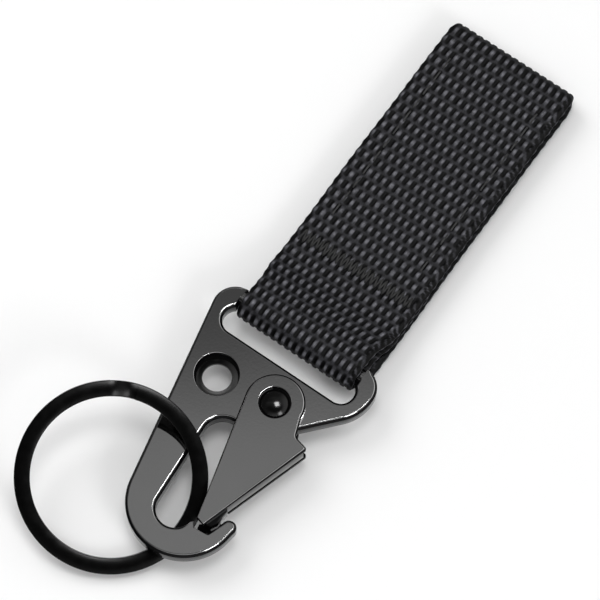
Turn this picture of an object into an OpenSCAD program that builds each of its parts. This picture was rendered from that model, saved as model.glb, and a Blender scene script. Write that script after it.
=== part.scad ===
// Belt-loop key organiser: a folded webbing strap with a hook-and-loop closure,
// a flat die-cast snap hook with a sprung gate, and a split key ring.
// Millimetres, +Z up, +Y along the strap. The part lies flat on Z = 0 and its
// origin is the bottom centre of its bounding box.

/* [Webbing] */
// Width of the webbing
webbing_w = 25; // [24:0.1:25]
// Thickness of one layer of webbing
webbing_t = 1.4; // [1.2:0.05:1.45]
// Width of the webbing where it is drawn in to pass the hook's slot
neck_w = 23.5; // [22:0.1:23.8]
// Length of the closed strap, from the slot bar's axis to the far fold
strap_len = 64; // [50:1:90]
// Clear height between the two closed layers
layer_gap = 2; // [1.9:0.1:2.2]
// Distance from the slot bar's axis to the middle of the bar tack
tack_at = 15.8; // [14:0.1:18]

/* [Hook-and-loop tape] */
// Width of the sewn tapes
tape_w = 20; // [16:0.5:22]
// Thickness of each tape
tape_t = 0.8; // [0.6:0.05:0.85]
// Length of each tape
tape_len = 38; // [28:1:40]

/* [Snap hook] */
// Thickness of the hook's plate
plate_t = 2.7; // [2.5:0.05:3]
// Height of the plate's lower face above the table
plate_z = 4; // [3.9:0.05:4.2]
// Radius of the outer curve at the hook's nose end
nose_bend_r = 9.75; // [9.6:0.05:9.8]
// Radius of the through bore of the lanyard hole
lanyard_r = 2.5; // [2:0.05:2.8]
// Radius of the lanyard hole's countersink at the top face
lanyard_top_r = 3.85; // [3.2:0.05:4.2]
// Radius of the round bar that carries the webbing
bar_r = 1.5; // [1.3:0.05:1.55]

/* [Gate] */
// Radius of the gate's round end
gate_r = 5.1; // [4.8:0.05:5.2]
// Thickness of each gate cheek
cheek_t = 0.95; // [0.7:0.05:1]
// Radius of the rivet's shank
rivet_r = 1.5; // [1.2:0.05:1.6]
// Radius of the rivet's domed head
rivet_head_r = 2.5; // [2.2:0.05:2.6]
// Diameter of the gate spring's wire
spring_wire = 0.4; // [0.3:0.05:0.45]

/* [Split ring] */
// Outside diameter of the split ring
ring_od = 32; // [31.6:0.1:32]
// Radial width of the ring's flat wire
ring_w = 2.65; // [2.4:0.05:2.7]
// Thickness of the two coils together
ring_t = 1.8; // [1.6:0.1:1.8]
// Angle at which the ring leans on the hook
ring_lean = 22.2; // [22:0.1:23]
// Compass direction of the ring's raised side, from +X
ring_raised_to = 135.5; // [134:0.1:137]

/* [Hidden] */

// Clearances: beside a moving face, round a pin, and between faces that touch
side_gap = 0.12;
pin_gap = 0.05;
cut = 1;

// Heights
plate_top = plate_z + plate_t;
plate_mid = plate_z + plate_t / 2;
tail_z = 0.1;
tail_top = tail_z + webbing_t;
front_z = tail_top + layer_gap;
front_top = front_z + webbing_t;

// Drawing coordinates: X = 0 and Y = 0 lie near the middle of the part
bar_y = -6;
pivot = [7.9, -18.45];
lanyard = [-3.1, -19.6];
nose_bend = [5.35, -40.6];
ring_c = [-6.78, -44.35, 6.9];
web_x0 = -7.67;
neck_x0 = -7.1;
web_mid = web_x0 + webbing_w / 2;
fold_y = bar_y + strap_len - (front_top - tail_z) / 2;
fold_zc = (front_top + tail_z) / 2;
tail_end_y = -4.5;

// The ring's normal, and the part's extents, which put the origin at the middle
ring_n = [-cos(ring_raised_to) * sin(ring_lean),
          -sin(ring_raised_to) * sin(ring_lean), cos(ring_lean)];
function ring_reach(n) = ring_od / 2 * sqrt(1 - n * n) + ring_t / 2 * abs(n);
plate_right = 20.7;
part_x = [ring_c.x - ring_reach(ring_n.x), plate_right];
part_y = [ring_c.y - ring_reach(ring_n.y), bar_y + strap_len];
middle = [(part_x[0] + part_x[1]) / 2, (part_y[0] + part_y[1]) / 2, 0];

module centred() { translate(-middle) children(); }

// Unit vector at angle a
function dir(a) = [cos(a), sin(a)];
// Points on an arc round c
function arc(c, r, a0, a1, n = 12) = [for (i = [0:n]) c + r * dir(a0 + (a1 - a0) * i / n)];
function unit(v) = v / norm(v);
// A corner at p, between points a and b, rounded to radius r
function round_corner(a, p, b, r, n = 8) =
    let (u = unit(a - p), v = unit(b - p), half = acos(u * v) / 2,
         c = p + unit(u + v) * r / sin(half),
         s = p + u * r / tan(half) - c, e = p + v * r / tan(half) - c,
         a0 = atan2(s.y, s.x), turn = (atan2(e.y, e.x) - a0 + 540) % 360 - 180)
    arc(c, r, a0, a0 + turn, n);

// ---------------------------------------------------------------- snap hook

// Outline of the hook's plate, anticlockwise from its top left corner: the left arm,
// the bend, the nose, the notch for the gate's tip, the eye, and the right shoulder
module plate_outline() {
    top_y = bar_y + 1.7;
    left = [-12.35, top_y];
    arm_foot = nose_bend + nose_bend_r * dir(192);
    shoulder = [13.3, -20.1];
    web_corner = [12.3, -24.4];
    side_corner = [plate_right, -11.8];
    top_corner = [plate_right, top_y];
    eye_top = [4.2, -28.2];
    notch = [12, -43.1];
    notch_low = [9.4, -43.35];
    bowl = [4.9, -42.45];
    polygon(concat(
        round_corner(top_corner, left, arm_foot, 4),
        arc(nose_bend, nose_bend_r, 192, 350, 28),
        arc([14, -40.1], 1.25, -20, 170, 10),
        round_corner([12.77, -39.9], notch, notch_low, 0.3, 3),
        [notch_low, [8.7, -42.45], [8.45, -42.45]],
        arc(bowl, 3.3, -5, -178, 16),
        arc(eye_top, 3.6, 178, 92, 8),
        round_corner(eye_top + [0, 3.6], web_corner, shoulder, 2.5),
        round_corner(web_corner, shoulder, side_corner, 1, 4),
        round_corner(shoulder, side_corner, top_corner, 8, 12),
        round_corner(side_corner, top_corner, left, 4.1)));
}

// A slot with round ends between x0 and x1, centred on y
module long_slot(x0, x1, y, r) {
    translate([x0 + r, y - r]) square([x1 - x0 - 2 * r, 2 * r]);
    for (x = [x0 + r, x1 - r]) translate([x, y]) circle(r, $fn = 48);
}

slot_x = [-8.4, 17.7];
slot_y = [-12.3, bar_y - 1.5];
spring_pocket_r = 3.3;
spring_pocket_d = 1.35;
leg_angle = -58;

module hook_body() color([0.27, 0.27, 0.28]) centred() {
    slot_r = (slot_y[1] - slot_y[0]) / 2;
    land = 1;
    beside_web = 0.35;
    bar_x = [neck_x0 - beside_web, neck_x0 + neck_w + beside_web];
    difference() {
        translate([0, 0, plate_z]) linear_extrude(plate_t) plate_outline();
        // Slot for the webbing
        translate([0, 0, plate_z - cut]) linear_extrude(plate_t + 2 * cut)
            long_slot(slot_x[0], slot_x[1], (slot_y[0] + slot_y[1]) / 2, slot_r);
        // The square bar is cut away, and a round one takes its place
        translate([bar_x[0], slot_y[1] - slot_r, plate_z - cut])
            cube([bar_x[1] - bar_x[0], slot_r + 2 * bar_r + 1, plate_t + 2 * cut]);
        // Lanyard hole, countersunk from the top
        translate([lanyard.x, lanyard.y, plate_z - cut])
            cylinder(r = lanyard_r, h = plate_t, $fn = 64);
        translate([lanyard.x, lanyard.y, plate_z + land])
            cylinder(r1 = lanyard_r, r2 = lanyard_top_r, h = plate_t - land, $fn = 64);
        // Rivet hole, and the pocket and channel for the gate spring
        translate([pivot.x, pivot.y, plate_z - cut])
            cylinder(r = rivet_r, h = plate_t + 2 * cut, $fn = 64);
        translate([pivot.x, pivot.y, plate_top - spring_pocket_d])
            cylinder(r = spring_pocket_r, h = plate_t, $fn = 64);
        translate([pivot.x, pivot.y, plate_top - spring_pocket_d]) rotate(leg_angle)
            translate([0, 1.2, 0]) cube([9, 1.7, plate_t]);
        translate([pivot.x, pivot.y, plate_z - cut]) rotate(spring_anchor)
            translate([spring_mean_r, 0, 0])
                cylinder(r = spring_wire / 2 + 0.1, h = plate_t, $fn = 24);
    }
    translate([bar_x[0] - 0.3, bar_y, plate_mid]) rotate([0, 90, 0])
        cylinder(r = bar_r, h = bar_x[1] - bar_x[0] + 0.6, $fn = 64);
}

// ---------------------------------------------------------------------- gate

gate_tip_l = [8.95, -42];
gate_tip_r = [10.5, -42.45];
gate_thumb = [16.95, -21.9];
gate_waist = [14.2, -21.3];
cheek_top_z = plate_top + side_gap;
cheek_low_z = plate_z - side_gap - cheek_t;

module upper_cheek() {
    polygon(concat(
        arc(pivot, gate_r, 5, 195, 32),
        round_corner(pivot + gate_r * dir(195), gate_tip_l, gate_tip_r, 0.2, 3),
        round_corner(gate_tip_l, gate_tip_r, gate_thumb, 0.2, 3),
        round_corner(gate_tip_r, gate_thumb, gate_waist, 0.5, 5),
        round_corner(gate_thumb, gate_waist, pivot + gate_r * dir(5), 0.9, 5)));
}

// The lower cheek stops short of the tip, to leave room for the ring
module lower_cheek() {
    intersection() {
        upper_cheek();
        polygon([[-2, -37.5], [-2, -10], [20, -10], [20, -37.5]]);
    }
}

// Solid wall along the gate's outer edge, between the two cheeks
module gate_wall() {
    in_dir = unit([gate_tip_r.y - gate_thumb.y, gate_thumb.x - gate_tip_r.x]);
    along = unit(gate_tip_r - gate_thumb);
    wall_t = 1.2;
    top = gate_thumb + along * 0.8;
    low = gate_thumb + along * 17.4;
    polygon([top, low, low + in_dir * wall_t, top + in_dir * wall_t]);
}

// Tongue of the tip, at the height of the plate: it rests in the notch
module gate_tongue() {
    polygon([[9.45, -37], [10.05, -41], [9.95, -42], [11.6, -41.85], [12.15, -40.8],
             [12.3, -38.2], [11.7, -37]]);
}

module gate() color([0.3, 0.3, 0.31]) centred() {
    bore_r = rivet_r + pin_gap;
    difference() {
        union() {
            translate([0, 0, cheek_top_z]) linear_extrude(cheek_t) upper_cheek();
            translate([0, 0, cheek_low_z]) linear_extrude(cheek_t) lower_cheek();
            translate([0, 0, cheek_low_z])
                linear_extrude(cheek_top_z - cheek_low_z + cheek_t / 2) gate_wall();
            translate([0, 0, plate_z + 0.4])
                linear_extrude(plate_t - 0.4 + side_gap + cheek_t / 2) gate_tongue();
        }
        translate([pivot.x, pivot.y, 0]) cylinder(r = bore_r, h = plate_top + 5, $fn = 64);
        // Recess for the rivet's head
        translate([pivot.x, pivot.y, cheek_top_z + cheek_t - 0.55])
            cylinder(r = rivet_head_r + 0.25, h = 2, $fn = 64);
    }
}

// Domed head, shank and peened tail. The shank is a press fit in the plate.
module gate_rivet() color([0.05, 0.05, 0.05]) centred() {
    head_z = cheek_top_z + cheek_t - 0.5;
    tail_h = 0.5;
    dome_h = 1;
    sphere_r = (rivet_head_r * rivet_head_r + dome_h * dome_h) / (2 * dome_h);
    translate([pivot.x, pivot.y, 0]) {
        translate([0, 0, cheek_low_z - 0.05 - tail_h])
            cylinder(r = rivet_head_r - 0.2, h = tail_h, $fn = 64);
        translate([0, 0, cheek_low_z - 0.1])
            cylinder(r = rivet_r, h = head_z - cheek_low_z + 0.3, $fn = 64);
        intersection() {
            translate([0, 0, head_z]) cylinder(r = rivet_head_r, h = 2, $fn = 64);
            translate([0, 0, head_z + dome_h - sphere_r]) sphere(sphere_r, $fn = 64);
        }
    }
}

// ---------------------------------------------------------------- gate spring

spring_mean_r = 2.15;
spring_turns = 2;
spring_anchor = leg_angle + 90 + 360 * spring_turns;

// Tube of n sides through the points of a path that never runs straight up
module wire(path, r, n = 8) {
    last = len(path) - 1;
    function heading(i) = unit(path[min(i + 1, last)] - path[max(i - 1, 0)]);
    rings = [for (i = [0:last]) let (t = heading(i), s = unit(cross(t, [0, 0, 1])),
             u = cross(s, t)) for (k = [0:n - 1])
             path[i] + r * (s * cos(360 * k / n) + u * sin(360 * k / n))];
    polyhedron(rings, concat(
        [[for (k = [0:n - 1]) k]],
        [for (i = [0:last - 1]) for (k = [0:n - 1])
            [i * n + k, (i + 1) * n + k, (i + 1) * n + (k + 1) % n, i * n + (k + 1) % n]],
        [[for (k = [n - 1:-1:0]) last * n + k]]));
}

// Torsion spring: a leg against the gate's wall, two turns round the rivet, and a
// short end that is held in the plate
module gate_spring() color([0.55, 0.55, 0.57]) centred() {
    low = plate_top - spring_pocket_d + spring_wire / 2 + 0.05;
    steps = 20;
    start = leg_angle + 90;
    leg_out = 5.6;
    rise = spring_wire * 1.2;
    top_z = low + spring_turns * rise;
    leg = [for (s = [leg_out, 4, 2]) concat(spring_mean_r * dir(start) + s * dir(leg_angle),
                                            top_z)];
    coil = [for (i = [0:steps * spring_turns]) let (a = start + 360 * i / steps)
            concat(spring_mean_r * dir(a), top_z - rise * i / steps)];
    translate([pivot.x, pivot.y, 0]) wire(concat(leg, coil), spring_wire / 2);
}

// ----------------------------------------------------------------- split ring

// Cross-section of one flat coil, from z0 up to z1, with broken corners
module coil_section(z0, z1) {
    r1 = ring_od / 2;
    r0 = r1 - ring_w;
    c = 0.22;
    polygon([[r0 + c, z0], [r1 - c, z0], [r1, z0 + c], [r1, z1 - c], [r1 - c, z1],
             [r0 + c, z1], [r0, z1 - c], [r0, z0 + c]]);
}

// Two flat coils, one on the other, each with its cut end
module split_ring() color([0.03, 0.03, 0.03]) centred() {
    end_gap = 3;
    translate(ring_c) rotate(ring_raised_to) rotate([0, -ring_lean, 0]) {
        rotate(-9) rotate_extrude(angle = 360 - end_gap, $fn = 96)
            coil_section(-ring_t / 2, 0.01);
        rotate(-24) rotate_extrude(angle = 360 - end_gap, $fn = 96)
            coil_section(-0.01, ring_t / 2);
    }
}

// -------------------------------------------------------------------- webbing

// Lays a (Y, Z) outline along X, from x0 for the given width
module across(x0, width) {
    translate([x0, 0, 0]) rotate([90, 0, 90]) linear_extrude(width) children();
}

eye_in = bar_r + pin_gap;
eye_out = eye_in + webbing_t;
flap_z = front_z - webbing_t;
ramp_end = bar_y + 13;
flap_end = bar_y + 19;
ramp_steps = 12;

// Smooth step from 0 to 1
function ease(s) = s * s * (3 - 2 * s);
// Underside of the front layer between the bar and the flat stretch
function ramp(s) = [bar_y + (ramp_end - bar_y) * s,
                    plate_mid + eye_in + (front_z - plate_mid - eye_in) * ease(s)];

module front_outline() {
    under = [for (i = [0:ramp_steps]) ramp(i / ramp_steps)];
    over = [for (i = [ramp_steps:-1:0]) ramp(i / ramp_steps) + [0, webbing_t]];
    polygon(concat(under, [[fold_y, front_z], [fold_y, front_top]], over));
}

// The strap's sewn end, which comes back under the bar
module flap_outline() {
    low = plate_mid - eye_out;
    polygon([[bar_y, low + webbing_t], [bar_y, low], [ramp_end, flap_z],
             [flap_end, flap_z], [flap_end, front_z], [ramp_end, front_z]]);
}

// Half a tube of the webbing's thickness, on the side of c that faces -Y or +Y
module half_tube(c, r_in, r_out, side) {
    intersection() {
        translate(c) difference() {
            circle(r_out, $fn = 64);
            circle(r_in, $fn = 64);
        }
        translate([side > 0 ? c.x : c.x - 2 * r_out, c.y - 2 * r_out])
            square([2 * r_out, 4 * r_out]);
    }
}

// Front layer, far fold, and the eye that wraps the bar and comes back to be sewn
module webbing() color([0.09, 0.09, 0.1]) centred() {
    neck_end = -3;
    difference() {
        union() {
            across(web_x0, webbing_w) front_outline();
            across(web_x0, webbing_w) flap_outline();
            across(web_x0, webbing_w) half_tube([bar_y, plate_mid], eye_in, eye_out, -1);
            across(web_x0, webbing_w)
                half_tube([fold_y, fold_zc], layer_gap / 2, layer_gap / 2 + webbing_t, 1);
        }
        // The neck is drawn in where it passes between the ends of the slot
        for (x = [neck_x0 - 5, neck_x0 + neck_w])
            translate([x, bar_y - 5, 0]) cube([5, neck_end - bar_y + 5, plate_top + 5]);
    }
}

// Back layer, hinged at the far fold
module webbing_tail() color([0.08, 0.08, 0.09]) centred() {
    hinge_gap = 0.5;
    across(web_x0, webbing_w) {
        translate([tail_end_y, tail_z])
            square([fold_y - tail_end_y - webbing_t / 2 - hinge_gap, webbing_t]);
    }
}

// ---------------------------------------------------- hook-and-loop tape, thread

tape_y0 = fold_y - 2.6 - tape_len;

module tape(z) {
    translate([web_mid - tape_w / 2, tape_y0, z]) cube([tape_w, tape_len, tape_t]);
}

module hook_tape() color([0.06, 0.06, 0.07]) centred() tape(front_z - tape_t);

module loop_tape() color([0.12, 0.12, 0.13]) centred() tape(tail_top);

// Zigzag line of thread across the strap, with the given count of strokes
module zigzag(width, depth, strokes, thread) {
    step = width / strokes;
    function at(i) = [i * step - width / 2, (i % 2 - 0.5) * depth];
    polygon(concat([for (i = [0:strokes]) at(i) + [0, thread / 2]],
                   [for (i = [strokes:-1:0]) at(i) - [0, thread / 2]]));
}

// Bar tack: it sews the strap's end to the front layer, seen on both faces
module bar_tack() color([0.04, 0.04, 0.05]) centred() {
    thread = 0.5;
    proud = 0.12;
    for (z = [front_top, flap_z - proud])
        translate([web_mid - 0.4, bar_y + tack_at, z]) linear_extrude(proud)
            zigzag(22, 2.2, 36, thread);
}

// Two rows of stitches along the tape's edges
module stitch_rows(z) {
    pitch = 3;
    stitch = [0.4, 2.2, 0.1];
    rows = floor(tape_len / pitch);
    for (side = [-1, 1], i = [0:rows - 1])
        translate([web_mid + side * (tape_w / 2 - 1) - stitch.x / 2,
                   tape_y0 + (i + 0.15) * pitch, z]) cube(stitch);
}

module hook_tape_stitches() color([0.04, 0.04, 0.05]) centred() stitch_rows(front_top);

module loop_tape_stitches() color([0.04, 0.04, 0.05]) centred()
    stitch_rows(tail_top + tape_t);

hook_body();
gate();
gate_rivet();
gate_spring();
split_ring();
webbing();
webbing_tail();
hook_tape();
loop_tape();
bar_tack();
hook_tape_stitches();
loop_tape_stitches();
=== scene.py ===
"""Looks of the belt-loop key organiser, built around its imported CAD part."""

import math

import bpy
import numpy as np
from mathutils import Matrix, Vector
from mathutils.geometry import delaunay_2d_cdt


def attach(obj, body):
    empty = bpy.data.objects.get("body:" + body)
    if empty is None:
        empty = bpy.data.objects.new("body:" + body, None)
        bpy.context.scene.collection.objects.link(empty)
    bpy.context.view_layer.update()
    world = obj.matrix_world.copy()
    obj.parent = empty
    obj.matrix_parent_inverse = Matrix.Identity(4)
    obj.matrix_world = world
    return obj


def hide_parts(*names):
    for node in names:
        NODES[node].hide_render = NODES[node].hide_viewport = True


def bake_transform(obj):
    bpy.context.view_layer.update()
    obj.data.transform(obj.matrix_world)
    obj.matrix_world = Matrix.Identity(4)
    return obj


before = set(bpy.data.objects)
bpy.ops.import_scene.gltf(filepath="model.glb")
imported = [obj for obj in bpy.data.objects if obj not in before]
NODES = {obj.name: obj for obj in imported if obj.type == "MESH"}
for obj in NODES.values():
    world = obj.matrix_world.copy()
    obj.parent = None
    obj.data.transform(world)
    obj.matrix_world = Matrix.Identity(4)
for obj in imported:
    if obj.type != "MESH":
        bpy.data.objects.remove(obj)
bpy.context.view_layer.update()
MM = 0.001
RNG = np.random.default_rng(7)

# The CAD's drawing coordinates, in millimetres, are the row frame plus this middle
MIDDLE = np.array([-0.86529, -1.00853, 0.0])


def place(points):
    """Drawing coordinates in millimetres to the row frame in metres."""
    return (np.asarray(points, float) - MIDDLE) * MM


# ------------------------------------------------------------ camera and stage

AZIMUTH, ELEVATION = math.radians(35.2), math.radians(69.5)
DISTANCE = 0.700
TARGET = Vector((0.000865, 0.001009, 0.0037))
SKY = 0.54
# Grey of the ceiling, from the camera's side (-1) to the far side (1)
CEILING = [(-0.6, 0.02), (-0.15, 0.03), (0.12, 0.28), (0.27, 0.44), (0.318, 0.43),
           (0.342, 0.15), (0.43, 0.13), (0.7, 0.4)]
# Grey of the walls, from -X to +X
WALLS = [(-0.8, 0.10), (-0.2, 0.16), (0.35, 0.9), (0.8, 1.0)]


def add_camera():
    back = Vector((math.sin(AZIMUTH) * math.cos(ELEVATION),
                   -math.cos(AZIMUTH) * math.cos(ELEVATION), math.sin(ELEVATION)))
    data = bpy.data.cameras.new("camera")
    data.sensor_width = 36
    data.lens = 249.9
    camera = bpy.data.objects.new("camera", data)
    camera.location = TARGET + back * DISTANCE
    camera.rotation_mode = "QUATERNION"
    camera.rotation_quaternion = (-back).to_track_quat("-Z", "Y")
    bpy.context.scene.collection.objects.link(camera)
    bpy.context.scene.camera = camera


def add_area(name, at, size, watts, glossy, diffuse=True):
    """A soft square light at a point, turned to the object."""
    data = bpy.data.lights.new(name, "AREA")
    data.size = size
    data.energy = watts
    lamp = bpy.data.objects.new(name, data)
    lamp.location = at
    lamp.rotation_euler = (-Vector(at)).to_track_quat("-Z", "Y").to_euler()
    lamp.visible_glossy = glossy
    lamp.visible_diffuse = diffuse
    bpy.context.scene.collection.objects.link(lamp)


def add_world():
    """Even white light for matt surfaces. What mirrors it sees a studio: a bright wall on one
    side, a dim one on the other, and a dark ceiling with a grey patch over the hook."""
    world = bpy.data.worlds.new("studio")
    bpy.context.scene.world = world
    world.use_nodes = True
    tree = world.node_tree
    tree.nodes.clear()

    def node(kind, **inputs):
        made = tree.nodes.new("ShaderNode" + kind)
        for key, value in inputs.items():
            made.inputs[key.replace("_", " ")].default_value = value
        return made

    def ramp(stops):
        """Greys along a line from -1 to 1"""
        made = node("ValToRGB")
        elements = made.color_ramp.elements
        while len(elements) < len(stops):
            elements.new(0.5)
        for element, (at, grey) in zip(elements, stops):
            element.position = (at + 1) / 2
            element.color = (grey, grey, grey, 1)
        shift = node("MapRange", From_Min=-1)
        link(shift.outputs[0], made.inputs["Fac"])
        return shift.inputs["Value"], made.outputs["Color"]

    link = tree.links.new
    coords = node("TexCoord")
    along = node("VectorMath")
    along.operation = "DOT_PRODUCT"
    along.inputs[1].default_value = (-math.sin(AZIMUTH), math.cos(AZIMUTH), 0)
    parts = node("SeparateXYZ")
    high = node("MapRange", From_Min=0.62, From_Max=0.80)
    mix, choose = node("MixRGB"), node("MixRGB", Color1=(SKY, SKY, SKY, 1))
    path = node("LightPath")
    sky, out = node("Background"), node("OutputWorld")
    link(coords.outputs["Generated"], along.inputs[0])
    link(coords.outputs["Generated"], parts.inputs["Vector"])
    for stops, source, target in ((CEILING, along.outputs["Value"], "Color2"),
                                  (WALLS, parts.outputs["X"], "Color1")):
        value, colour = ramp(stops)
        link(source, value)
        link(colour, mix.inputs[target])
    link(parts.outputs["Z"], high.inputs["Value"])
    link(high.outputs[0], mix.inputs["Fac"])
    link(path.outputs["Is Glossy Ray"], choose.inputs["Fac"])
    link(mix.outputs["Color"], choose.inputs["Color2"])
    link(choose.outputs["Color"], sky.inputs["Color"])
    link(sky.outputs["Background"], out.inputs["Surface"])


FLOOR_HALF = 1.5


def add_floor():
    """A white sheet of paper that the object lies on."""
    r = FLOOR_HALF
    mesh = bpy.data.meshes.new("floor")
    mesh.from_pydata([(-r, -r, 0), (r, -r, 0), (r, r, 0), (-r, r, 0)], [], [(0, 1, 2, 3)])
    floor = bpy.data.objects.new("floor", mesh)
    bpy.context.scene.collection.objects.link(floor)
    paper = Shader("floor_paper", Roughness=0.9, Specular_IOR_Level=0.1)
    paper.link(paper.ramp(noise(paper, object_coords(paper), 6), [(0.3, 0.85), (0.7, 0.87)]),
               "Base Color")
    mesh.materials.append(paper.material)


# ------------------------------------------------------------------- materials

class Shader:
    """A material with a Principled shader and short ways to add nodes to it."""

    def __init__(self, name, **sockets):
        self.material = bpy.data.materials.new(name)
        self.material.use_nodes = True
        self.tree = self.material.node_tree
        self.bsdf = self.tree.nodes["Principled BSDF"]
        for socket, value in sockets.items():
            self.bsdf.inputs[socket.replace("_", " ")].default_value = value

    def node(self, kind, links=(), **settings):
        made = self.tree.nodes.new("ShaderNode" + kind)
        for key, value in settings.items():
            if key in made.inputs:
                made.inputs[key].default_value = value
            else:
                setattr(made, key, value)
        for socket, source in dict(links).items():
            self.link(source, made.inputs[socket])
        return made

    def link(self, source, target):
        if isinstance(target, str):
            target = self.bsdf.inputs[target]
        self.tree.links.new(source, target)

    def ramp(self, source, stops):
        """A colour for each value, from stops of (position, grey or colour)."""
        made = self.node("ValToRGB", {"Fac": source})
        elements = made.color_ramp.elements
        while len(elements) < len(stops):
            elements.new(0.5)
        for element, (position, grey) in zip(elements, stops):
            element.position = position
            colour = grey if isinstance(grey, tuple) else (grey, grey, grey)
            element.color = (*colour, 1)
        return made.outputs["Color"]

    def bump(self, height, strength, distance):
        made = self.node("Bump", {"Height": height}, Strength=strength, Distance=distance)
        self.link(made.outputs["Normal"], "Normal")


def noise(shader, coords, scale, detail=3.0):
    return shader.node("TexNoise", {"Vector": coords}, Scale=scale, Detail=detail).outputs["Fac"]


def object_coords(shader):
    return shader.node("TexCoord").outputs["Object"]


def webbing_material():
    """Black nylon: crowns of the floats painted grey as painted highlight, pits painted dark as
    painted shade, fine filaments along each yarn.
    """
    s = Shader("nylon_webbing", Roughness=0.6, Specular_IOR_Level=0.1)
    attr = s.node("Attribute", attribute_name="weave")
    parts = s.node("SeparateXYZ", {"Vector": attr.outputs["Vector"]})
    across, along, height = (parts.outputs[i] for i in range(3))
    # The weave's third value, called height here, is its painted tone: painted highlight on the
    # float crowns, painted shade in the pits
    tone = s.ramp(height, [(0.0, (0.0004, 0.0004, 0.0005)), (0.36, (0.0018, 0.0018, 0.0021)),
                           (0.53, (0.042, 0.042, 0.048)), (0.73, (0.118, 0.118, 0.133)),
                           (1.0, (0.20, 0.20, 0.222))])
    wide = s.node("Math", {0: across}, operation="MULTIPLY")
    wide.inputs[1].default_value = 7.0
    threads = s.node("CombineXYZ", {"X": wide.outputs[0], "Y": along})
    streak = s.node("TexNoise", {"Vector": threads.outputs["Vector"]}, Scale=1.3, Detail=3.0)
    light = s.ramp(streak.outputs["Fac"], [(0.32, 0.42), (0.5, 0.85), (0.68, 1.0)])
    streaked = s.node("MixRGB", {"Color1": tone, "Color2": light}, blend_type="MULTIPLY",
                      Fac=1.0)
    speckle = s.ramp(noise(s, object_coords(s), 1500, 2), [(0.35, 0.55), (0.6, 1.0)])
    mottled = s.node("MixRGB", {"Color1": streaked.outputs["Color"], "Color2": speckle},
                     blend_type="MULTIPLY", Fac=1.0)
    s.link(mottled.outputs["Color"], "Base Color")
    s.bump(streak.outputs["Fac"], 0.6, 0.00008)
    return s.material


def thread_material(name, grey):
    """Matt black thread with a fine mottle."""
    s = Shader(name, Roughness=0.6, Specular_IOR_Level=0.15)
    coords = object_coords(s)
    s.link(s.ramp(noise(s, coords, 1400), [(0.3, grey * 0.5), (0.7, grey)]), "Base Color")
    s.bump(noise(s, coords, 3000), 0.4, 0.00004)
    return s.material


def plated_material(name, heights, face, wall, metal_wall, rough):
    """Dark nickel plate, by height. The flat faces at the two heights are grey, with a painted
    highlight line round them. The bevels, and all else between the two heights, are painted near
    black as shade and dark reflection of the same plate. The wall between them has its own grey,
    painted darker than the faces as shade."""
    s = Shader(name, Specular_IOR_Level=0.12)
    coords = object_coords(s)
    z = s.node("SeparateXYZ", {"Vector": coords}).outputs["Z"]
    low, high = heights[0] * MM, heights[1] * MM
    middle, half = (low + high) / 2, (high - low) / 2
    off = s.node("Math", {0: z}, operation="SUBTRACT")
    off.inputs[1].default_value = middle
    away = s.node("Math", {0: off.outputs[0]}, operation="ABSOLUTE")
    share = s.node("Math", {0: away.outputs[0]}, operation="DIVIDE")
    share.inputs[1].default_value = half
    # Shares of the half height: the wall's end, and the painted highlight line's start and end
    inner, line_end, face_start = 0.6, 1 - 0.000065 / half, 1 - 0.000008 / half
    # Painted colours: near black on the bevels as painted shade, and a lighter grey line as
    # painted highlight
    bevel, line = (0.0025, 0.0025, 0.0027), 0.5
    lit_and_shaded_bands = s.ramp(share.outputs[0], [
        (inner - 0.01, wall), (inner, bevel), (line_end - 0.004, bevel), (line_end, line),
        (face_start - 0.002, line), (face_start, face)])
    metal = s.ramp(share.outputs[0], [
        (inner - 0.01, float(metal_wall)), (inner, 0.0), (line_end - 0.004, 0.0),
        (line_end, 1.0)])
    s.link(metal, "Metallic")
    clouds = s.ramp(noise(s, coords, 55), [(0.3, 0.93), (0.7, 1.0)])
    colour = s.node("MixRGB", {"Color1": lit_and_shaded_bands, "Color2": clouds}, blend_type="MULTIPLY",
                    Fac=1.0)
    s.link(colour.outputs["Color"], "Base Color")
    fine = noise(s, coords, 2600, 2)
    spread = s.node("MapRange", {"Value": fine})
    spread.inputs["To Min"].default_value = rough * 0.8
    spread.inputs["To Max"].default_value = rough * 1.25
    s.link(spread.outputs[0], "Roughness")
    s.bump(fine, 0.05, 0.00002)
    return s.material


def gloss_black_material(name, grey, rough, specular):
    """Polished black, a little uneven in tone and gloss."""
    s = Shader(name, Specular_IOR_Level=specular)
    coords = object_coords(s)
    s.link(s.ramp(noise(s, coords, 300), [(0.35, grey * 0.8), (0.65, grey * 1.2)]),
           "Base Color")
    wear = s.node("MapRange", {"Value": noise(s, coords, 700)})
    wear.inputs["To Min"].default_value = rough * 0.7
    wear.inputs["To Max"].default_value = rough * 1.4
    s.link(wear.outputs[0], "Roughness")
    s.bump(noise(s, coords, 500), 0.06, 0.00003)
    return s.material


def spring_material():
    """Bare drawn steel wire."""
    s = Shader("spring_steel", Metallic=1.0)
    coords = object_coords(s)
    s.link(s.ramp(noise(s, coords, 900), [(0.3, 0.35), (0.7, 0.6)]), "Base Color")
    s.bsdf.inputs["Roughness"].default_value = 0.3
    s.bump(noise(s, coords, 4000), 0.2, 0.00001)
    return s.material


# --------------------------------------------------------------- mesh building

def new_piece(name, points, faces, material, body=None, weave=None):
    """A smooth mesh from points in drawing coordinates, riding on a body if one is named."""
    mesh = bpy.data.meshes.new(name)
    mesh.from_pydata(place(points).tolist(), [], [tuple(f) for f in faces])
    mesh.update()
    mesh.polygons.foreach_set("use_smooth", [True] * len(mesh.polygons))
    if weave is not None:
        attribute = mesh.attributes.new("weave", "FLOAT_VECTOR", "POINT")
        attribute.data.foreach_set("vector", np.asarray(weave, np.float32).ravel())
    mesh.materials.append(material)
    piece = bpy.data.objects.new(name, mesh)
    bpy.context.scene.collection.objects.link(piece)
    if body:
        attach(piece, body)
    return piece


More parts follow.
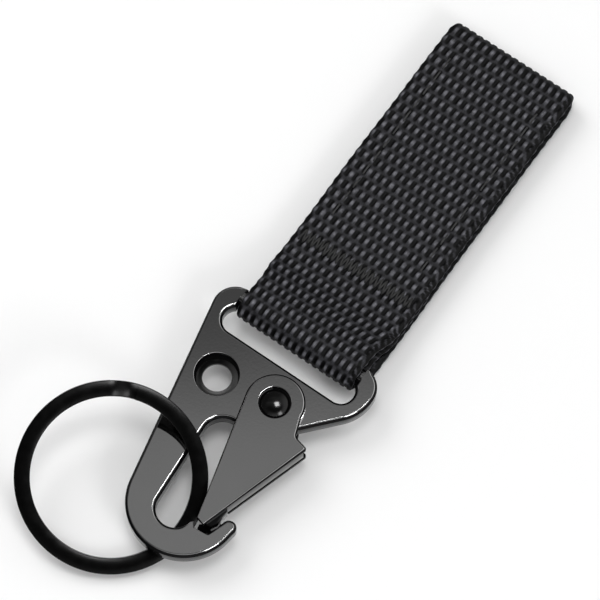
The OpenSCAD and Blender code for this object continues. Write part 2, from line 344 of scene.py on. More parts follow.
def tube(points, radius, sides=6):
    """(points, faces) of a round tube along a path, with closed ends."""
    path = np.asarray(points, float)
    heading = np.gradient(path, axis=0)
    heading /= np.linalg.norm(heading, axis=1)[:, None]
    up = np.where(np.abs(heading[:, 2:3]) > 0.9, [[1.0, 0, 0]], [[0, 0, 1.0]])
    side = np.cross(heading, up)
    side /= np.linalg.norm(side, axis=1)[:, None]
    over = np.cross(side, heading)
    turn = 2 * np.pi * np.arange(sides) / sides
    ring = (side[:, None] * np.cos(turn)[None, :, None]
            + over[:, None] * np.sin(turn)[None, :, None])
    verts = (path[:, None] + ring * radius).reshape(-1, 3)
    faces = [((i + 1) * sides + k, (i + 1) * sides + (k + 1) % sides,
              i * sides + (k + 1) % sides, i * sides + k)
             for i in range(len(path) - 1) for k in range(sides)]
    faces += [tuple(range(sides)),
              tuple(range(len(path) * sides - 1, (len(path) - 1) * sides - 1, -1))]
    return verts, faces


def joined(parts):
    """Several (points, faces) as one."""
    verts, faces, start = [], [], 0
    for v, f in parts:
        verts.append(v)
        faces += [tuple(i + start for i in face) for face in f]
        start += len(v)
    return np.concatenate(verts), faces


# --------------------------------------------------------------------- webbing

# Edges in X, along the strap and where it passes the slot
WEB_X, NECK_X = (-7.67, 17.33), (-7.1, 16.4)
# Where the narrow stretch ends along Y, the length it widens over, and its lowest height
NECK_END, NECK_EASE, NECK_LOW = 3.0, 5.0, 2.2
# Yarns side by side, mesh columns to a yarn, and the length in which the weave repeats
YARNS, PER_YARN, FLOAT_PERIOD = 33, 4, 4.30
YARN_HALF = 0.54
# The bar and the far fold as (Y, Z), with the radius of the webbing's middle line round each
BAR, EYE_R = np.array([-6.0, 5.35]), 2.25
FOLD, FOLD_R, FOLD_TIP = np.array([55.6, 2.5]), 1.7, 57.3
# Heights of the front and tail layers, and where the front's slope and the tail end
FRONT_Z, TAIL_Z = 4.2, 0.8
RAMP_END, TAIL_END = 7.0, -4.5
# The bar tack's ends in X and its two rows in Y
TACK_X, TACK_Y = (-6.4, 15.9), (8.5, 10.9)
# The tapes' ends in Y, and the two rows of stitches that sew each of them
TAPE_Y, STITCH_X = (15.0, 53.0), (-4.17, 13.83)


def arc(centre, radius, first, last, count):
    """Points along an arc between two angles in degrees, in a number of steps."""
    a = np.radians(np.linspace(first, last, count + 1))
    return np.c_[centre[0] + radius * np.cos(a), centre[1] + radius * np.sin(a)]


def ramp_points(count):
    """The front layer's slope, from the top of the bar down to its flat run."""
    s = np.linspace(0, 1, count)
    top = BAR[1] + EYE_R
    return np.c_[BAR[0] + (RAMP_END - BAR[0]) * s, top + (FRONT_Z - top) * s * s * (3 - 2 * s)]


def resample(path, steps):
    """Points at the given distances along a fine polyline, with the left-hand normals,
    which are taken between two points a little ahead and behind."""
    gaps = np.linalg.norm(np.diff(path, axis=0), axis=1)
    keep = np.r_[True, gaps > 1e-9]
    path = path[keep]
    dist = np.r_[0, np.cumsum(np.linalg.norm(np.diff(path, axis=0), axis=1))]
    at = np.c_[np.interp(steps, dist, path[:, 0]), np.interp(steps, dist, path[:, 1])]
    ahead, behind = (np.c_[np.interp(steps + e, dist, path[:, 0]),
                           np.interp(steps + e, dist, path[:, 1])] for e in (0.05, -0.05))
    t = ahead - behind
    t /= np.linalg.norm(t, axis=1)[:, None]
    return at, np.c_[-t[:, 1], t[:, 0]]


def path_length(path):
    return float(np.linalg.norm(np.diff(path, axis=0), axis=1).sum())


def weave_height(u, s, side):
    """(height from -1 in a pit to 1 on a float's crown, tone from 0 to 1) of the weave. The tone
    is painted highlight on the crowns and painted shade in the pits.
    """
    pitch = (WEB_X[1] - WEB_X[0]) / YARNS
    yarn = np.floor(np.clip(u, 0, YARNS * pitch - 1e-6) / pitch)
    height = np.full(u.shape, -9.0)
    for step in (-1, 0, 1):
        k = yarn + step
        x = (u - (k + 0.5) * pitch) / YARN_HALF
        phase = 2 * np.pi * s / FLOAT_PERIOD + np.pi * k
        lift = (side * np.cos(phase) + 0.22 * np.cos(2 * phase)) / 1.22
        crown = np.sqrt(np.clip(1 - x * x, 0, None)) - 1
        inside = (k >= 0) & (k < YARNS) & (np.abs(x) < 1)
        height = np.maximum(height, np.where(inside, lift + 1.1 * crown, -9.0))
    # Distance along and across from the middle of the nearest float
    phase = 2 * np.pi * s / FLOAT_PERIOD + np.pi * yarn
    turn = (phase + np.pi * (side < 0) + np.pi) % (2 * np.pi) - np.pi
    v = turn * FLOAT_PERIOD / (2 * np.pi)
    x = u - (yarn + 0.5) * pitch
    # Painted highlight on each float's crown, and painted shade in the pits between the floats
    bright = np.exp(-(v / 0.62) ** 2 - (x / 0.42) ** 2)
    away = FLOAT_PERIOD / 2 - np.abs(v)
    pit = np.exp(-(away / 0.50) ** 2 - (x / 0.30) ** 2)
    picks = 0.05 * np.cos(2 * np.pi * s / (FLOAT_PERIOD / 4))
    # Loops of weft turn back at the right selvage, and cross its last two yarns aslant, with
    # painted highlight along them and painted shade between
    edge = np.clip((u - (YARNS - 1.7) * pitch) / (0.5 * pitch), 0, 1)
    uneven = 0.5 * np.sin(s / 1.9) + 0.35 * np.sin(s / 0.83 + 2)
    slant = np.cos(2 * np.pi * (s + uneven + 0.9 * (u - YARNS * pitch)) / (FLOAT_PERIOD / 3))
    bright = bright * (1 - edge) + edge * np.clip(0.08 + 0.30 * slant * (1 + uneven), 0, 1)
    pit = pit * (1 - edge) + edge * np.clip(-0.5 * slant, 0, 1)
    height = np.clip(height, -1.1, 1.0) - 0.7 * pit
    tone = np.clip(0.42 + picks + 0.50 * bright - 0.60 * pit, 0, 1)
    return height, tone


def selvages(y, z, steps):
    """X of the left and right edges, drawn in at the slot and at the far fold."""
    neck = np.clip((NECK_END - y) / NECK_EASE, 0, 1)
    neck = np.where(z > NECK_LOW, neck * neck * (3 - 2 * neck), 0)
    fold = np.exp(-((y - FOLD_TIP) / 1.1) ** 2)
    wobble = 0.10 * np.sin(steps / 9.0) + 0.06 * np.sin(steps / 3.7 + 1)
    left = WEB_X[0] + neck * (NECK_X[0] - WEB_X[0]) + 0.3 * fold + 0.1 + wobble * 0.6
    right = WEB_X[1] + neck * (NECK_X[1] - WEB_X[1]) - 0.5 * fold - 0.1 + wobble * 0.6
    return left, right


def thread_dents(x, y, z):
    """How far the tack and the stitches pull the front layer's faces in."""
    front = z > 3
    tack = (front & (np.abs(y - sum(TACK_Y) / 2) < 1.5)
            & (np.abs(x - sum(TACK_X) / 2) < 11.4))
    dent = np.where(tack, 0.14, 0)
    along_tape = front & (y > TAPE_Y[0]) & (y < TAPE_Y[1])
    for line in STITCH_X:
        dent = dent + 0.05 * along_tape * np.exp(-((x - line) / 0.42) ** 2)
    return dent


def cut_ends(index, cols):
    """Faces that close both ends of a band, whose rows run over one face and back."""
    faces = []
    for row, flip in ((0, True), (len(index) - 1, False)):
        made = [(index[row, k], index[row, k + 1], index[row, 2 * cols - k - 1],
                 index[row, 2 * cols - k]) for k in range(cols - 1)]
        made += [(index[row, cols - 1], index[row, cols], index[row, cols + 1]),
                 (index[row, 2 * cols], index[row, 2 * cols + 1], index[row, 0])]
        faces += [tuple(int(i) for i in (f[::-1] if flip else f)) for f in made]
    return faces


def strip(path, steps, name, material, phase=0.0, dents=True):
    """A closed woven band of webbing along a (Y, Z) path."""
    at, normal = resample(path, steps)
    cols = YARNS * PER_YARN + 1
    width = WEB_X[1] - WEB_X[0]
    u = np.linspace(0, width, cols)
    y, z = at[:, 0], at[:, 1:2]
    left, right = selvages(y, at[:, 1], steps)
    x = left[:, None] + (right - left)[:, None] * u[None, :] / width
    yarn_u = np.broadcast_to(u, x.shape)
    s = np.broadcast_to((steps + phase)[:, None], x.shape)
    calm = np.exp(-((y - FOLD_TIP) / 1.2) ** 2)[:, None]
    # Painted shade: the weave's tone darkens near the far fold
    shade = (1 - 0.14 * np.exp(-((y - 58.0) / 3.0) ** 2))[:, None]
    rim = np.clip(np.minimum(u, width - u) / 0.75, 0, 1)[None, :]
    rows = []
    for side in (1, -1):
        height, tone = weave_height(yarn_u, s, side)
        lift = 0.52 + 0.16 * height * (1 - 0.5 * calm)
        if dents:
            lift = lift - thread_dents(x, y[:, None], z)
        lift = lift * (0.55 + 0.45 * np.sqrt(rim))
        points = np.stack([x, at[:, 0:1] + side * lift * normal[:, 0:1],
                           z + side * lift * normal[:, 1:2]], axis=2)
        # Painted shade: the tone is darker towards the band's rounded edges
        tone = tone * (0.7 + 0.3 * rim) * shade
        rows.append((points, np.stack([yarn_u / (width / YARNS), s, tone], axis=2)))
    # The selvage: loops of weft that stand out at each edge, their tone painted lighter on each
    # loop as painted highlight
    loop = 0.5 + 0.5 * np.cos(2 * np.pi * s[:, 0] / (FLOAT_PERIOD / 2))
    edges = []
    for edge, sign in ((right, 1), (left, -1)):
        points = np.stack([edge + sign * (0.02 + 0.16 * loop), y, at[:, 1]], axis=1)
        info = np.stack([np.full(len(s), YARNS + 0.5), s[:, 0], 0.35 + 0.5 * loop], axis=1)
        edges.append((points[:, None], info[:, None]))
    # Round the band: over the upper face, the right edge, back under, and the left edge
    top, low = rows
    verts, info = (np.concatenate([top[i], edges[0][i], low[i][:, ::-1], edges[1][i]], axis=1)
                   for i in (0, 1))
    index = np.arange(verts.shape[0] * verts.shape[1]).reshape(verts.shape[:2])
    nxt = np.roll(index, -1, axis=1)
    faces = np.stack([index[:-1], nxt[:-1], nxt[1:], index[1:]], axis=2).reshape(-1, 4)
    faces = [tuple(int(i) for i in f) for f in faces] + cut_ends(index, cols)
    return new_piece(name, verts.reshape(-1, 3), faces, material, weave=info.reshape(-1, 3))


def spread(first, last, step):
    """Even steps from first to last, about as long as asked."""
    return np.linspace(first, last, max(2, int(round((last - first) / step)) + 1))


def build_webbing(material):
    """The strap from the bar round the far fold to its tail, and the end sewn under it."""
    over = np.concatenate([arc(BAR, EYE_R, 205, 90, 59), ramp_points(60)[1:],
                           [[FOLD[0], FRONT_Z]]])
    path = np.concatenate([over, arc(FOLD, FOLD_R, 90, -90, 59)[1:], [[TAIL_END, TAIL_Z]]])
    front = path_length(over)
    turned = front + math.pi * FOLD_R
    total = path_length(path)
    steps = np.concatenate([spread(0, front, 0.36), spread(front, turned, 0.27)[1:],
                            spread(turned, total, 0.62)[1:]])
    strap = strip(path, steps, "webbing_strap", material)
    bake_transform(strap)
    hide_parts("webbing", "webbing_tail")
    eye_path = np.concatenate([[[13.0, 2.8], [7.0, 2.8]], [[BAR[0], BAR[1] - EYE_R]],
                               arc(BAR, EYE_R, 270, 207, 39)[1:]])
    eye = strip(eye_path, spread(0, path_length(eye_path), 0.45), "webbing_sewn_end",
                material, phase=1.1, dents=False)
    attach(eye, "strap")


# --------------------------------------------------------------------- threads

TACK_STROKES, TACK_THREAD_R = 52, 0.19
STITCHES, STITCH_STEP, STITCH_LONG = 12, 3.0, 2.2


def build_tack(material):
    """Zigzag bar tack over the strap, with the same under the sewn end."""
    parts = []
    for z, sag in ((4.95, 1), (2.02, -1)):
        points = []
        for i, x in enumerate(np.linspace(TACK_X[0], TACK_X[1], TACK_STROKES + 1)):
            y = TACK_Y[i % 2] + RNG.uniform(-0.12, 0.12)
            points.append((x + RNG.uniform(-0.06, 0.06), y))
        path = []
        for (xa, ya), (xb, yb) in zip(points[:-1], points[1:]):
            for t in np.linspace(0, 1, 7)[:-1]:
                dip = 0.34 * (1 - math.sin(math.pi * t) ** 0.5)
                path.append((xa + (xb - xa) * t, ya + (yb - ya) * t, z - sag * dip))
        parts.append(tube(path, TACK_THREAD_R, 6))
    piece = new_piece("tack_thread", *joined(parts), material, "strap")
    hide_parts("bar_tack")


def build_stitches(name, node, body, z, radius, material):
    """Two rows of lock stitches, each a short arch of thread."""
    parts = []
    for x in STITCH_X:
        for i in range(STITCHES):
            y = TAPE_Y[0] + (i + 0.15) * STITCH_STEP
            t = np.linspace(0, 1, 9)
            path = np.c_[np.full(9, x) + RNG.uniform(-0.04, 0.04), y + STITCH_LONG * t,
                         z - 0.22 + 0.24 * np.sin(np.pi * t) ** 0.5]
            parts.append(tube(path, radius, 6))
    piece = new_piece(name, *joined(parts), material, body)
    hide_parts(node)


def slab(x0, x1, y0, y1, z0, z1, nx, ny, wave):
    """A closed cloth-like pad whose two faces ripple a little."""
    xs, ys = np.linspace(x0, x1, nx), np.linspace(y0, y1, ny)
    gx, gy = np.meshgrid(xs, ys)
    ripple = wave * np.sin(gx * 5.1) * np.sin(gy * 4.3)
    top = np.stack([gx, gy, z1 + ripple], axis=2)
    low = np.stack([gx, gy, z0 + ripple * 0.3], axis=2)
    verts = np.concatenate([top.reshape(-1, 3), low.reshape(-1, 3)])
    index = np.arange(nx * ny).reshape(ny, nx)
    base = nx * ny
    faces = []
    for j in range(ny - 1):
        for i in range(nx - 1):
            a, b, c, d = index[j, i], index[j, i + 1], index[j + 1, i + 1], index[j + 1, i]
            faces += [(a, b, c, d), (base + d, base + c, base + b, base + a)]
    border = ([index[0, i] for i in range(nx)] + [index[j, -1] for j in range(1, ny)]
              + [index[-1, i] for i in range(nx - 2, -1, -1)]
              + [index[j, 0] for j in range(ny - 2, 0, -1)])
    for a, b in zip(border, border[1:] + border[:1]):
        faces.append((b, a, base + a, base + b))
    return verts, [tuple(int(i) for i in f) for f in faces]


TAPE_HALF = 10.0
HOOK_TAPE_Z, LOOP_TAPE_Z = (3.16, 3.5), (1.5, 1.82)
HOOK_GAP_X, HOOK_GAP_Y, HOOK_WIRE_R = 0.85, 0.95, 0.055
PILE_LOOPS, PILE_YARN_R = 2600, 0.035


def build_tapes(hook_material, loop_material):
    """The two halves of the closure, on the inner faces of the strap's layers."""
    middle = sum(WEB_X) / 2
    x0, x1 = middle - TAPE_HALF, middle + TAPE_HALF
    t = np.linspace(0, 1, 6)
    # Hook side, under the front layer: a woven ground with rows of small hooks
    parts = [slab(x0, x1, *TAPE_Y, *HOOK_TAPE_Z, 60, 90, 0.02)]
    for i, x in enumerate(np.arange(x0 + 1.9, x1 - 1.7, HOOK_GAP_X)):
        for y in np.arange(TAPE_Y[0] + 0.6 + 0.35 * (i % 2), TAPE_Y[1] - 0.4, HOOK_GAP_Y):
            lean = 1 if i % 2 else -1
            path = np.c_[x + 0.18 * lean * t, y + 0.26 * np.sin(np.pi * t) * lean,
                         3.2 - 0.42 * np.sin(np.pi * np.minimum(t * 0.78, 0.7))]
            parts.append(tube(path, HOOK_WIRE_R, 3))
    hooks = new_piece("hook_tape_ground", *joined(parts), hook_material, "strap")
    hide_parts("hook_tape")
    # Loop side, on the tail: a ground with a brushed pile of fine loops
    parts = [slab(x0, x1, *TAPE_Y, *LOOP_TAPE_Z, 60, 90, 0.03)]
    for _ in range(PILE_LOOPS):
        x, y = RNG.uniform(x0 + 1.6, x1 - 1.6), RNG.uniform(TAPE_Y[0] + 0.4, TAPE_Y[1] - 0.4)
        a, size, tall = RNG.uniform(0, 2 * math.pi), RNG.uniform(0.3, 0.7), RNG.uniform(0.2, 0.46)
        path = np.c_[x + size * np.cos(a) * (t - 0.5), y + size * np.sin(a) * (t - 0.5),
                     1.8 + tall * np.sin(np.pi * t)]
        parts.append(tube(path, PILE_YARN_R, 3))
    loops = new_piece("loop_tape_pile", *joined(parts), loop_material, "tail")
    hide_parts("loop_tape")


# ------------------------------------------------------------------ split ring

RING_C = (-6.78, -44.35, 6.9)
# How far the ring leans, and the compass direction of its raised side
RING_LEAN, RING_TO = math.radians(22.2), math.radians(135.5)
# Outer radius, the flat wire's width, and one coil's thickness
RING_R, RING_W, COIL_T = 16.0, 2.65, 0.9
# Degrees round the ring where the wire starts, steps up a coil, and ends
WIRE_START, STEP_START, STEP_END, WIRE_END = -9.0, 336.0, 351.0, 693.5


def build_ring(material):
    """One flat wire wound twice, which steps from the lower coil up to the upper one."""
    angles = np.unique(np.concatenate([np.arange(WIRE_START, WIRE_END, 1.5),
                                       [STEP_START, STEP_END, WIRE_END]]))
    s = np.clip((angles - STEP_START) / (STEP_END - STEP_START), 0, 1)
    rise = s * s * (3 - 2 * s)
    gap = 0.02
    centre_z = -COIL_T / 2 - gap + (COIL_T + 2 * gap) * rise
    # The wire's section, with each corner cut in two steps
    c, b = 0.16, 0.05
    inner, outer, half = RING_R - RING_W, RING_R, COIL_T / 2
    section = np.array([[inner, -half + c], [inner + b, -half + b], [inner + c, -half],
                        [outer - c, -half], [outer - b, -half + b], [outer, -half + c],
                        [outer, half - c], [outer - b, half - b], [outer - c, half],
                        [inner + c, half], [inner + b, half - b], [inner, half - c]])
    a = np.radians(angles)
    r, z = section[:, 0][None], section[:, 1][None]
    local = np.stack([r * np.cos(a)[:, None], r * np.sin(a)[:, None],
                      z + centre_z[:, None]], axis=2).reshape(-1, 3)
    lean = np.array([[math.cos(-RING_LEAN), 0, math.sin(-RING_LEAN)], [0, 1, 0],
                     [-math.sin(-RING_LEAN), 0, math.cos(-RING_LEAN)]])
    turn = np.array([[math.cos(RING_TO), -math.sin(RING_TO), 0],
                     [math.sin(RING_TO), math.cos(RING_TO), 0], [0, 0, 1]])
    verts = local @ lean.T @ turn.T + np.array(RING_C)
    n, m = len(angles), len(section)
    faces = [(i * m + k, (i + 1) * m + k, (i + 1) * m + (k + 1) % m, i * m + (k + 1) % m)
             for i in range(n - 1) for k in range(m)]
    faces += [tuple(range(m)), tuple(range(n * m - 1, (n - 1) * m - 1, -1))]
    piece = new_piece("split_ring_coils", verts, faces, material, "ring")
    for p in piece.data.polygons:
        if len(p.vertices) > 4:
            p.use_smooth = False
    split = piece.modifiers.new("crisp", "EDGE_SPLIT")
    split.split_angle = math.radians(50)
    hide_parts("split_ring")


# ------------------------------------------------------------------ metal parts

# Heights of the plate and of the gate's two cheeks
PLATE_Z, CHEEK_TOP, CHEEK_LOW = (4.0, 6.7), (6.82, 7.77), (2.93, 3.88)
# The holes for the rivet and the lanyard, with the radius of each at the plate's face
PIVOT, PIVOT_R = np.array([7.9, -18.45]), 3.3
LANYARD, LANYARD_R = np.array([-3.1, -19.6]), 3.85
# The webbing slot, and the gap left beside the webbing
SLOT_X, SLOT_Y, SLOT_R = (-8.4, 17.7), -9.9, 2.4
BESIDE_WEB = 0.35
SLOT_CUT = (NECK_X[0] - BESIDE_WEB, NECK_X[1] + BESIDE_WEB)
BAR_R = 1.5
# The hook's outline: its upper edge and right side, and the arcs of the bend, nose and eye
TOP_Y, RIGHT_X = -4.3, 20.7
BEND, BEND_R = np.array([5.35, -40.6]), 9.75
NOSE, NOSE_R = (14, -40.1), 1.25
BOWL, BOWL_R = (4.9, -42.45), 3.3
EYE_TOP, EYE_TOP_R = np.array([4.2, -28.2]), 3.6
# The gate's outline: its round head, the two corners of its tip, its thumb and its waist
HEAD_R = 5.1
TIP_LEFT, TIP_RIGHT = np.array([8.95, -42.0]), np.array([10.5, -42.45])
THUMB, WAIST = np.array([16.95, -21.9]), np.array([14.2, -21.3])
# The lower cheek stops short of the tip
LOW_CHEEK_END = -37.5


def unit(v):
    return np.asarray(v, float) / np.linalg.norm(v)


def around(centre, radius, degrees):
    """The point of a circle at an angle."""
    a = math.radians(degrees)
    return centre + radius * np.array([math.cos(a), math.sin(a)])


def round_corner(a, p, b, radius, count=8):
    """A corner at p, between a and b, rounded to the radius."""
    a, p, b = (np.asarray(q, float) for q in (a, p, b))
    u, v = unit(a - p), unit(b - p)
    half = math.acos(np.clip(u @ v, -1, 1)) / 2
    centre = p + unit(u + v) * radius / math.sin(half)
    s, e = (p + w * radius / math.tan(half) - centre for w in (u, v))
    first = math.degrees(math.atan2(s[1], s[0]))
    turn = (math.degrees(math.atan2(e[1], e[0])) - first + 540) % 360 - 180
    return arc(centre, radius, first, first + turn, count)


def circle(centre, radius, count=64):
    """A hole's loop, clockwise, so that the metal lies on its left."""
    return arc(centre, radius, 360, 0, count)[:-1]


def offset(loop, distance):
    """The loop moved into the metal on its left, by a distance for each point."""
    ahead = np.roll(loop, -1, axis=0) - loop
    ahead /= np.linalg.norm(ahead, axis=1)[:, None]
    behind = np.roll(ahead, 1, axis=0)
    n0, n1 = np.c_[-behind[:, 1], behind[:, 0]], np.c_[-ahead[:, 1], ahead[:, 0]]
    miter = (n0 + n1) / np.clip(1 + (n0 * n1).sum(1), 0.35, None)[:, None]
    return loop + miter * np.asarray(distance).reshape(-1, 1)


def inside(points, loops):
    """Even-odd test of points against closed loops."""
    hit = np.zeros(len(points), bool)
    for loop in loops:
        nxt = np.roll(loop, -1, axis=0)
        for (xa, ya), (xb, yb) in zip(loop, nxt):
            cross = (ya > points[:, 1]) != (yb > points[:, 1])
            with np.errstate(divide="ignore", invalid="ignore"):
                at = (xb - xa) * (points[:, 1] - ya) / (yb - ya) + xa
            hit ^= cross & (points[:, 0] < at)
    return hit


def flat_face(loops, up):
    """Triangles over the region inside the loops, as indices of all their points."""
    flat = np.concatenate(loops)
    edges, first = [], 0
    for loop in loops:
        n = len(loop)
        edges += [(first + i, first + (i + 1) % n) for i in range(n)]
        first += n
    made = delaunay_2d_cdt([Vector(p) for p in flat.tolist()], edges, [], 0, 1e-7)
    places, tris, origins = np.array([list(v) for v in made[0]]), made[2], made[3]
    index = {i: o[0] for i, o in enumerate(origins) if o}
    middles = np.array([places[list(t)].mean(0) for t in tris])
    keep = inside(middles, loops)
    faces = []
    for t, ok in zip(tris, keep):
        if ok and all(i in index for i in t):
            a, b, c = (places[i] for i in t)
            ccw = (b[0] - a[0]) * (c[1] - a[1]) - (b[1] - a[1]) * (c[0] - a[0]) > 0
            face = [index[i] for i in t]
            faces.append(tuple(face if ccw == up else face[::-1]))
    return faces


def rounded(bevel, z, up):
    """(offset, height) of a bevelled edge, from the flat face to the wall. Its first
    strip leans only a little, and catches the light as a thin line."""
    sign = -1 if up else 1
    if bevel < 0.25:
        return [(bevel, z), (bevel * 0.3, z + sign * bevel * 0.3), (0, z + sign * bevel)]
    return [(bevel, z), (bevel - 0.13, z + sign * 0.055),
            (0.06, z + sign * (bevel - 0.06)), (0, z + sign * bevel)]


def solid(loops, profiles, pinch=()):
    """(points, faces, flat) of a plate. Each loop has a profile of (offset, height) from
    the top face to the lower one. Near a pinch point the offsets are smaller."""
    verts, faces, flat, count = [], [], [], 0
    tops, lows, tops_at, lows_at = [], [], [], []
    for loop, profile in zip(loops, profiles):
        share = np.ones(len(loop))
        for at, reach in pinch:
            away = np.linalg.norm(loop - np.asarray(at), axis=1)
            share = np.minimum(share, np.clip(away / reach, 0.35, 1))
        n = len(loop)
        first = count
        for d, z in profile:
            ring = offset(loop, d * share)
            verts.append(np.c_[ring, np.full(n, z)])
            count += n
        for r in range(len(profile) - 1):
            a, b = first + r * n, first + (r + 1) * n
            faces += [(a + i, b + i, b + (i + 1) % n, a + (i + 1) % n) for i in range(n)]
            flat += [False] * n
        tops.append(verts[-len(profile)][:, :2])
        lows.append(verts[-1][:, :2])
        tops_at.append(first)
        lows_at.append(count - n)
    points = np.concatenate(verts)
    for rings, starts, up in ((tops, tops_at, True), (lows, lows_at, False)):
        made = flat_face(rings, up)
        lookup = np.concatenate([np.arange(len(r)) + a for r, a in zip(rings, starts)])
        faces += [tuple(int(lookup[i]) for i in f) for f in made]
        flat += [True] * len(made)
    return points, faces, flat


def straight(z, bevel, low_bevel):
    """The profile of a wall between two heights, with both of its edges rounded."""
    return rounded(bevel, z[1], True) + rounded(low_bevel, z[0], False)[::-1]


def plate(loop, z, bevel, low_bevel=0.15, pinch=(), holes=()):
    """A plate with rounded edges. A hole is (loop, profile)."""
    loops = [loop] + [h[0] for h in holes]
    return solid(loops, [straight(z, bevel, low_bevel)] + [h[1] for h in holes], pinch)


def metal_piece(name, parts, material, body, node):
    """One piece of several (points, faces, flat) parts, crisp at its edges."""
    verts, faces, flat, start = [], [], [], 0
    for v, f, fl in parts:
        verts.append(v)
        faces += [tuple(i + start for i in face) for face in f]
        flat += fl
        start += len(v)
    piece = new_piece(name, np.concatenate(verts), faces, material, body)
    for polygon, is_flat in zip(piece.data.polygons, flat):
        polygon.use_smooth = not is_flat
    split = piece.modifiers.new("crisp", "EDGE_SPLIT")
    split.split_angle = math.radians(40)
    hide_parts(node)


def hook_outline():
    """The hook's plate, anticlockwise, with the slot open at the bar."""
    left, top, side = [-12.35, TOP_Y], [RIGHT_X, TOP_Y], [RIGHT_X, -11.8]
    shoulder, web_corner = [13.3, -20.1], [12.3, -24.4]
    foot = around(BEND, BEND_R, 192)
    x0, x1 = SLOT_CUT
    ends = (SLOT_X[0] + SLOT_R, SLOT_X[1] - SLOT_R)
    lift = math.degrees(math.acos((x1 - ends[1]) / SLOT_R))
    return np.concatenate([
        round_corner(top, left, foot, 4, 16)[1:],
        arc(BEND, BEND_R, 192, 350, 56),
        arc(NOSE, NOSE_R, -20, 170, 20),
        # The notch for the gate's tip
        round_corner([12.77, -39.9], [12, -43.1], [9.4, -43.35], 0.3, 3),
        [[9.4, -43.35], [8.65, -42.45]],
        arc(BOWL, BOWL_R, -9, -178, 32),
        arc(EYE_TOP, EYE_TOP_R, 178, 92, 16),
        round_corner(EYE_TOP + [0, EYE_TOP_R], web_corner, shoulder, 2.5),
        round_corner(web_corner, shoulder, side, 1, 6),
        round_corner(shoulder, side, top, 8, 16),
        round_corner(side, top, left, 4.1, 16)[:-1],
        [[x1, TOP_Y]],
        arc([ends[1], SLOT_Y], SLOT_R, lift, -90, 20),
        arc([ends[0], SLOT_Y], SLOT_R, 270, 180 - lift, 20),
        [[x0, TOP_Y]]])


def build_hook(material):
    """The cast plate with its slot and holes, and the bar that the webbing turns on."""
    # Profiles of (offset, height): the lanyard hole's countersink and land, and the rivet's
    # hole, with the pocket that the spring lies in
    sink = [(0.06, 6.7), (0.0, 6.66), (-0.03, 6.62), (-1.35, 5.0), (-1.35, 4.12), (-1.25, 4.0)]
    pocket = [(0.1, 6.7), (0.0, 6.6), (0.0, 5.35), (-1.78, 5.35), (-1.78, 4.0)]
    main = plate(hook_outline(), PLATE_Z, 0.55, 0.2,
                 pinch=[((9.0, -42.9), 2.2), ((12, -43.1), 1.2),
                        ((SLOT_CUT[0], TOP_Y), 1.3), ((SLOT_CUT[1], TOP_Y), 1.3)],
                 holes=[(circle(LANYARD, LANYARD_R), sink), (circle(PIVOT, PIVOT_R), pocket)])
    # A thin dark sheet of painted shade closes the bottom of the notch, where the photograph
    # shows black
    painted_shade_ledge = plate(np.array([[9.5, -43.2], [12, -43.0], [12.9, -40.2], [12.5, -39.6],
                            [10.6, -41.2], [9.3, -41.9]]), (4.02, 4.32), 0.02, 0.02)
    bar_v, bar_f = tube([[x, *BAR] for x in (NECK_X[0] - 0.6, 0, NECK_X[1] + 0.6)], BAR_R, 32)
    bar = bar_v, bar_f, [len(f) > 4 for f in bar_f]
    metal_piece("hook_plate_cast", [main, painted_shade_ledge, bar], material, "hook", "hook_body")


def gate_outline(low_end=None):
    """A cheek of the gate, down to its tip or cut off square at a Y."""
    a0, a1 = (around(PIVOT, HEAD_R, d) for d in (195, 5))
    if low_end is None:
        left, right = TIP_LEFT, TIP_RIGHT
    else:
        left = a0 + (TIP_LEFT - a0) * (low_end - a0[1]) / (TIP_LEFT[1] - a0[1])
        right = THUMB + (TIP_RIGHT - THUMB) * (low_end - THUMB[1]) / (TIP_RIGHT[1] - THUMB[1])
    return np.concatenate([arc(PIVOT, HEAD_R, 5, 195, 48), [left], [right],
                           round_corner(TIP_RIGHT, THUMB, WAIST, 0.5, 6),
                           round_corner(THUMB, WAIST, a1, 0.9, 8)[:-1]])


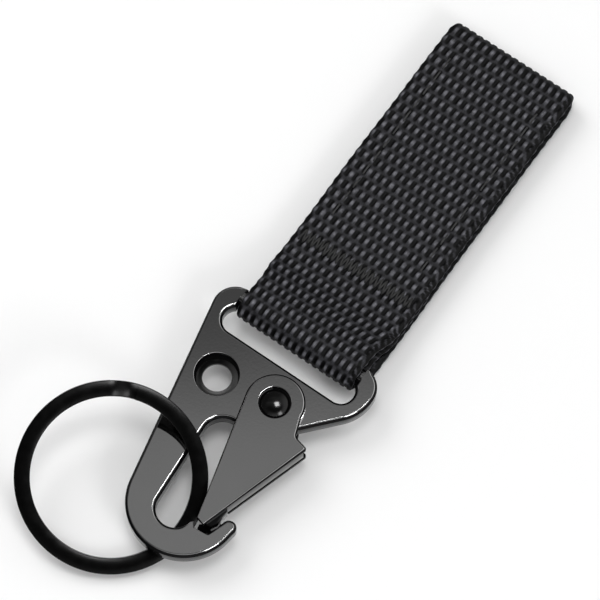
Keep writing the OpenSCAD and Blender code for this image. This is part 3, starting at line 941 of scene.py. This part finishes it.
def build_gate(material):
    """Two cheeks, the wall that joins them, and the tongue that rests in the notch."""
    # The upper cheek's hole, with the step that the rivet's head lies in
    well = [(0.10, 7.77), (0.03, 7.74), (0.0, 7.68), (0.0, 7.22), (-1.2, 7.22), (-1.2, 6.82)]
    upper = plate(gate_outline(), CHEEK_TOP, 0.42, 0.08,
                  pinch=[((9.0, -42.0), 2.0), ((10.5, -42.45), 2.0)],
                  holes=[(circle(PIVOT, 2.75), well)])
    lower = plate(gate_outline(LOW_CHEEK_END), CHEEK_LOW, 0.1, 0.3,
                  holes=[(circle(PIVOT, 1.55), straight(CHEEK_LOW, 0.05, 0.05))])
    between = CHEEK_LOW[1] - 0.05, CHEEK_TOP[0] + 0.05
    along = unit(TIP_RIGHT - THUMB)
    inward = unit([TIP_RIGHT[1] - THUMB[1], THUMB[0] - TIP_RIGHT[0]])
    top, low = THUMB + along * 0.8, THUMB + along * 17.4
    recess, thick = inward * 0.05, inward * 1.2
    wall = plate(np.array([top + thick, low + thick, low + recess, top + recess]),
                 between, 0.02, 0.02)
    # Its top falls in the near-black band of the gate's plate colour: painted shade where the
    # notch is dark
    tongue = plate(np.array([[9.45, -37], [10.05, -41], [9.95, -42], [11.6, -41.85],
                             [12.15, -40.8], [12.3, -38.2], [11.7, -37]]),
                   (4.4, between[1]), 0.12, 0.12)
    metal_piece("gate_cheeks", [upper, lower, wall, tongue], material, "gate", "gate")


def finish_cad(node, material, crisp):
    """Material and crisp edges on a CAD node whose shape is kept."""
    o = NODES[node]
    o.data.materials.clear()
    o.data.materials.append(material)
    weld = o.modifiers.new("weld", "WELD")
    weld.merge_threshold = 2e-6
    split = o.modifiers.new("crisp", "EDGE_SPLIT")
    split.split_angle = math.radians(crisp)
    o.data.polygons.foreach_set("use_smooth", [True] * len(o.data.polygons))


# -------------------------------------------------------------------- assembly

bpy.context.scene.view_settings.view_transform = "Standard"
add_camera()
add_world()
add_area("key", (-0.55, 0.10, 0.60), size=0.50, watts=2.4, glossy=False)
add_area("fill", (0.55, -0.20, 0.42), size=0.22, watts=1.2, glossy=True)
add_area("top", (-0.02, 0.06, 0.72), size=0.25, watts=1.45, glossy=False)
add_area("card", (0.075, 0.098, 0.60), size=0.23, watts=3.6, glossy=True, diffuse=False)
add_floor()

build_webbing(webbing_material())
build_tack(thread_material("nylon_thread", 0.034))
tape_thread = thread_material("tape_thread", 0.05)
build_stitches("hook_tape_thread", "hook_tape_stitches", "strap", 4.98, 0.15, tape_thread)
build_stitches("loop_tape_thread", "loop_tape_stitches", "tail", 2.12, 0.14, tape_thread)
build_tapes(thread_material("hook_tape_nylon", 0.02), thread_material("loop_tape_nylon", 0.035))
build_ring(gloss_black_material("ring_black", 0.0012, 0.22, 0.14))
# The walls are painted shade: near black on the hook, a darker grey than the faces on the gate
build_hook(plated_material("hook_plate", PLATE_Z, face=0.33, wall=0.004, metal_wall=False,
                           rough=0.045))
build_gate(plated_material("gate_plate", (CHEEK_LOW[0], CHEEK_TOP[1]), face=0.33, wall=0.13,
                           metal_wall=True, rough=0.045))
finish_cad("gate_rivet", gloss_black_material("rivet_black", 0.002, 0.16, 0.35), 40)
finish_cad("gate_spring", spring_material(), 60)
